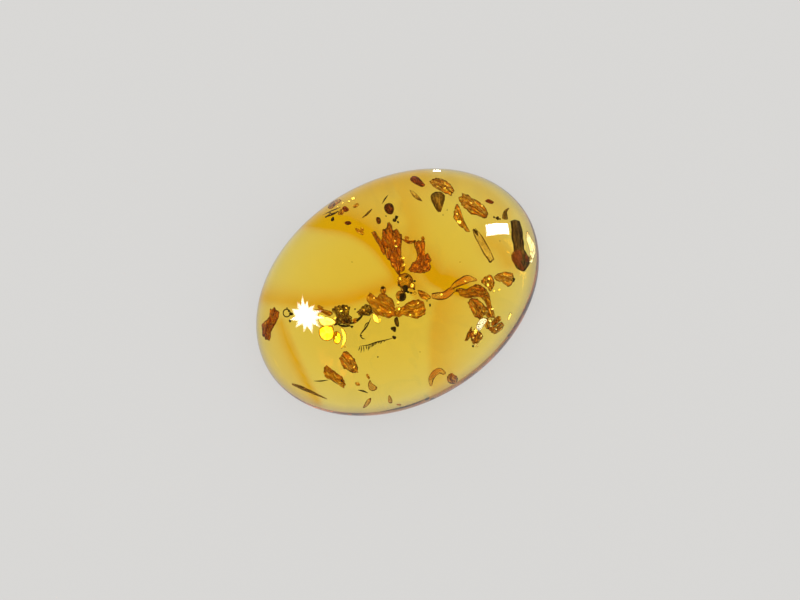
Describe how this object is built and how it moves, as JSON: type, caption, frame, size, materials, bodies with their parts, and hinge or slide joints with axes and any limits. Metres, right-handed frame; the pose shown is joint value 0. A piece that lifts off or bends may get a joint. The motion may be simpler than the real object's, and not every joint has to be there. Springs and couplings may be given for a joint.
{
  "type": "amber stone",
  "caption": "Polished oval cabochon of clear yellow amber with a domed front, a flat back and plant scraps sealed inside.",
  "frame": {"origin": "middle of the flat back", "axes": "+X along the stone's long axis, +Y across it, +Z from the flat back up to the top of the dome"},
  "size_m": [0.02, 0.0148, 0.007],
  "materials": {
    "amber": "clear yellow fossil resin, polished",
    "dark_bark": "dark fibrous bark, matte",
    "seed_coat": "red-brown seed coat, satin",
    "husk": "orange-brown husk, thin and translucent",
    "leaf": "golden leaf scrap, translucent",
    "straw": "olive-brown straw, satin",
    "resin_drop": "darker resin drop, glossy"
  },
  "bodies": {
    "root": {"amber_upper_half": "amber", "amber_lower_half": "amber", "bark_twig": "dark_bark", "bark_chip": "seed_coat", "bark_scrap_left": "husk", "bark_scrap_right": "husk", "bark_strip": "husk", "leaf_scrap_left": "leaf", "leaf_scrap_right": "leaf", "leaf_wing": "seed_coat", "resin_beads": "resin_drop", "husk_large": "husk", "husk_top": "husk", "husk_scale": "husk", "husk_core": "husk", "husk_plate": "husk", "husk_side": "husk", "husk_bead": "husk", "husk_crumb": "leaf", "husk_low": "husk", "husk_curl": "seed_coat", "husk_striped": "husk", "husk_bottom": "husk", "husk_arch": "straw", "chain_flake": "husk", "knot_left": "dark_bark", "knot_middle": "dark_bark", "twig_link_near": "straw", "twig_link_far": "straw", "straw": "straw", "sliver_olive": "straw", "splinter_top": "straw", "splinter_left": "dark_bark", "stick_edge": "dark_bark", "thorn_hook": "seed_coat", "hair_ring": "dark_bark", "seed_round_dark": "seed_coat", "seed_small_dark": "seed_coat", "seed_wedge": "dark_bark", "seed_red_top": "seed_coat", "seed_red_right": "seed_coat", "seed_round_brown": "seed_coat", "seed_oval_orange": "husk", "seed_oval_dark": "seed_coat", "seed_wedge_small": "dark_bark", "drop_upper": "resin_drop", "drop_left": "resin_drop", "drop_right": "resin_drop"}
  },
  "joints": []
}
